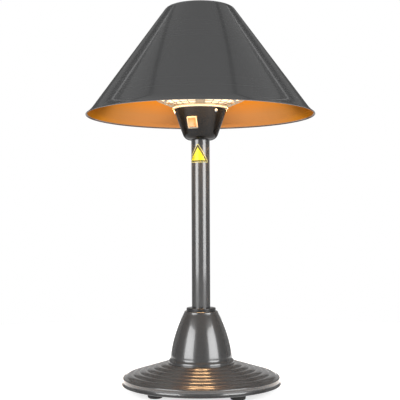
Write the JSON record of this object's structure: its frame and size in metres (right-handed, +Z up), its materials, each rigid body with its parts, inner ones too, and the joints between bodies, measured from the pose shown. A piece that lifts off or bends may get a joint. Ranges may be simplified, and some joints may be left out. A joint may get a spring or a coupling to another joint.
{
  "type": "outdoor heater",
  "caption": "Free-standing electric outdoor heater: ring lamp under a wide conical shade, on a pole with a bell foot and a ribbed round base.",
  "frame": {"origin": "on the floor under the feet, on the axis of the pole", "axes": "+Z up along the pole, -Y towards the front, where the switch is just left of the middle"},
  "size_m": [0.5717, 0.5718, 0.975],
  "materials": {
    "gunmetal_paint": "semi-gloss gunmetal grey paint on drawn steel",
    "shade_paint": "semi-gloss gunmetal grey paint on spun aluminium",
    "black_rubber": "matt black rubber",
    "black_paint": "satin black paint",
    "cast_weight": "rough casting",
    "zinc_steel": "bright zinc-plated steel",
    "plain_steel": "plain steel",
    "gloss_black_plastic": "gloss black moulding",
    "black_housing": "gloss near-black paint",
    "bright_steel": "bright rolled steel",
    "polished_aluminium": "polished reflector aluminium",
    "plain_aluminium": "mill-finish aluminium",
    "copper_reflector": "copper-coloured anodised aluminium, satin",
    "quartz": "clear quartz tube",
    "hot_coil": "glowing resistance coil",
    "white_ceramic": "unglazed white ceramic",
    "grey_plastic": "matt grey moulding",
    "cream_plastic": "cream moulding",
    "amber_plastic": "translucent amber, lit from inside",
    "yellow_vinyl": "satin yellow film with a dark edge line",
    "lead_sheath": "matt black sheath",
    "silicone_lead": "off-white silicone insulation",
    "brass": "plain brass"
  },
  "bodies": {
    "heater": {"ballast_weight": "cast_weight", "base_pan": "gunmetal_paint", "bell_collar": "gloss_black_plastic", "bell_cover": "gunmetal_paint", "bottom_plate": "black_paint", "dish_spacer": "plain_steel", "earth_screw": "brass", "flange_bolts": "zinc_steel", "flange_washers": "zinc_steel", "foot_front_left": "black_rubber", "foot_front_right": "black_rubber", "foot_rear_left": "black_rubber", "foot_rear_right": "black_rubber", "foot_screws": "zinc_steel", "head_plate": "polished_aluminium", "heat_shield": "plain_aluminium", "housing_rim_ring": "bright_steel", "housing_screws": "zinc_steel", "inlet_bush": "black_rubber", "lamp_clips": "plain_steel", "lamp_coil": "hot_coil", "lamp_end_caps": "white_ceramic", "lamp_leads": "silicone_lead", "lamp_tube": "quartz", "lead_bushes": "white_ceramic", "nipple_nut": "zinc_steel", "nipple_washer": "zinc_steel", "pole_flange": "plain_steel", "pole_grub_screws": "plain_steel", "pole_insert": "plain_steel", "pole_sticker": "yellow_vinyl", "pole_tube": "gunmetal_paint", "reflector_dish": "polished_aluminium", "rocker_pin": "plain_steel", "rod_nuts": "zinc_steel", "rod_sleeve": "plain_steel", "shade": "shade_paint", "shade_gasket": "black_rubber", "shade_knob": "gloss_black_plastic", "shade_liner": "copper_reflector", "shade_rod": "plain_steel", "shade_washer": "zinc_steel", "shield_spacer": "plain_steel", "supply_lead": "lead_sheath", "switch_case": "grey_plastic", "switch_frame": "cream_plastic", "switch_housing": "black_housing", "switch_terminals": "brass", "terminal_block": "white_ceramic", "terminal_bracket": "plain_steel", "terminal_screws": "brass", "thermal_cutout": "grey_plastic", "tilt_contact_block": "grey_plastic", "tilt_pivot_pin": "plain_steel", "tilt_switch_bracket": "plain_steel", "wire_guard": "bright_steel"},
    "rocker": {"switch_rocker": "amber_plastic"},
    "pendulum": {"tilt_pendulum": "brass"}
  },
  "joints": [
    {"name": "switch_rock", "type": "hinge", "parent": "heater", "child": "rocker", "pos_m": [-0.01905, -0.04813, 0.66847], "axis": [0.9298, -0.3681, 0], "range_deg": [0, 18]},
    {"name": "tilt_swing", "type": "hinge", "parent": "heater", "child": "pendulum", "pos_m": [0.045, 0, 0.104], "axis": [0, 1, 0], "range_deg": [-20, 20]}
  ]
}
